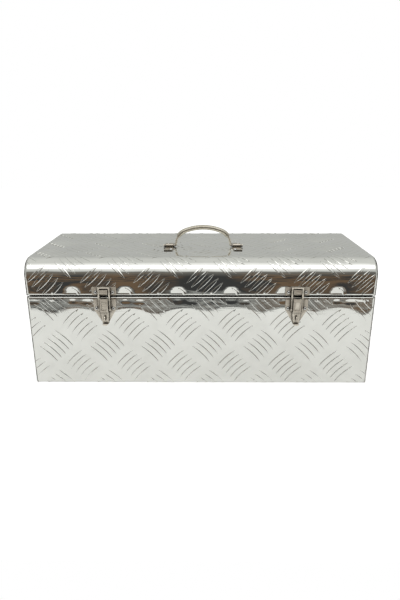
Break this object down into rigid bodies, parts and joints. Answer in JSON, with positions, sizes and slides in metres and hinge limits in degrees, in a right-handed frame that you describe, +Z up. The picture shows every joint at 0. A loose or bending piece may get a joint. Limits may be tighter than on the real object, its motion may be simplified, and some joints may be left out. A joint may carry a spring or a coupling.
{
  "type": "metal box with hinged lid",
  "caption": "Welded sheet metal box with a rounded, hinged lid, rubber rim seal, lid stay, two draw latches with padlock staples, and a folding wire bail with a rolled grip.",
  "frame": {"origin": "middle of the underside of the box", "axes": "+X along the box to the right, -Y out of the front with the latches, +Z up"},
  "size_m": [0.575, 0.2459, 0.2599],
  "materials": {
    "sheet": "bright rolled five-bar tread sheet",
    "weld": "rippled weld bead, brushed",
    "rivet": "satin blind rivet",
    "steel": "zinc plated, satin",
    "nickel": "warm nickel plate, bright",
    "grip": "warm nickel plate, bright",
    "seal": "matt black sponge rubber"
  },
  "bodies": {
    "box": {"body_shell": "sheet", "body_end_left": "sheet", "body_end_right": "sheet", "body_weld_left": "weld", "body_weld_right": "weld", "rim_seal": "seal", "hinge_leaf_body": "steel", "hinge_pin": "steel", "hinge_rivets_body": "rivet", "latch_base_left": "nickel", "latch_base_right": "nickel", "base_rivets_left": "rivet", "base_rivets_right": "rivet", "lever_pin_left": "nickel", "lever_pin_right": "nickel", "stay_stud_body": "steel"},
    "lid": {"lid_shell": "sheet", "lid_end_left": "sheet", "lid_end_right": "sheet", "lid_weld_left": "weld", "lid_weld_right": "weld", "hinge_leaf_lid": "steel", "hinge_rivets_lid": "rivet", "keeper_left": "nickel", "keeper_right": "nickel", "keeper_rivets_left": "rivet", "keeper_rivets_right": "rivet", "handle_bracket_left": "nickel", "handle_bracket_right": "nickel", "handle_rivets": "rivet", "stay_stud_lid": "steel"},
    "handle": {"handle_bail": "nickel", "handle_grip": "grip"},
    "lever_left": {"latch_lever_left": "nickel", "link_pin_left": "nickel"},
    "lever_right": {"latch_lever_right": "nickel", "link_pin_right": "nickel"},
    "link_left": {"draw_link_left": "nickel"},
    "link_right": {"draw_link_right": "nickel"},
    "stay": {"stay_arm": "steel"}
  },
  "joints": [
    {"name": "lid_hinge", "type": "hinge", "parent": "box", "child": "lid", "pos_m": [0, 0.11735, 0.16015], "axis": [-1, 0, 0], "range_deg": [0, 95]},
    {"name": "stay_pivot", "type": "hinge", "parent": "lid", "child": "stay", "pos_m": [0.2727, 0.06097, 0.18067], "axis": [-1, 0, 0], "range_deg": [-47.5, 0]},
    {"name": "handle_swing", "type": "hinge", "parent": "lid", "child": "handle", "pos_m": [0.004, -0.016, 0.2232], "axis": [1, 0, 0], "range_deg": [-82, 82]},
    {"name": "latch_left", "type": "hinge", "parent": "box", "child": "lever_left", "pos_m": [-0.158, -0.1192, 0.1555], "axis": [-1, 0, 0], "range_deg": [0, 135]},
    {"name": "link_left_swing", "type": "hinge", "parent": "lever_left", "child": "link_left", "pos_m": [-0.158, -0.1184, 0.138], "axis": [-1, 0, 0], "range_deg": [-135, 0]},
    {"name": "latch_right", "type": "hinge", "parent": "box", "child": "lever_right", "pos_m": [0.158, -0.1192, 0.1555], "axis": [-1, 0, 0], "range_deg": [0, 135]},
    {"name": "link_right_swing", "type": "hinge", "parent": "lever_right", "child": "link_right", "pos_m": [0.158, -0.1184, 0.138], "axis": [-1, 0, 0], "range_deg": [-135, 0]}
  ],
  "couplings": [
    {"joint": "stay_pivot", "follows": "lid_hinge", "ratio": -0.5},
    {"joint": "link_left_swing", "follows": "latch_left", "ratio": -1},
    {"joint": "link_right_swing", "follows": "latch_right", "ratio": -1}
  ]
}
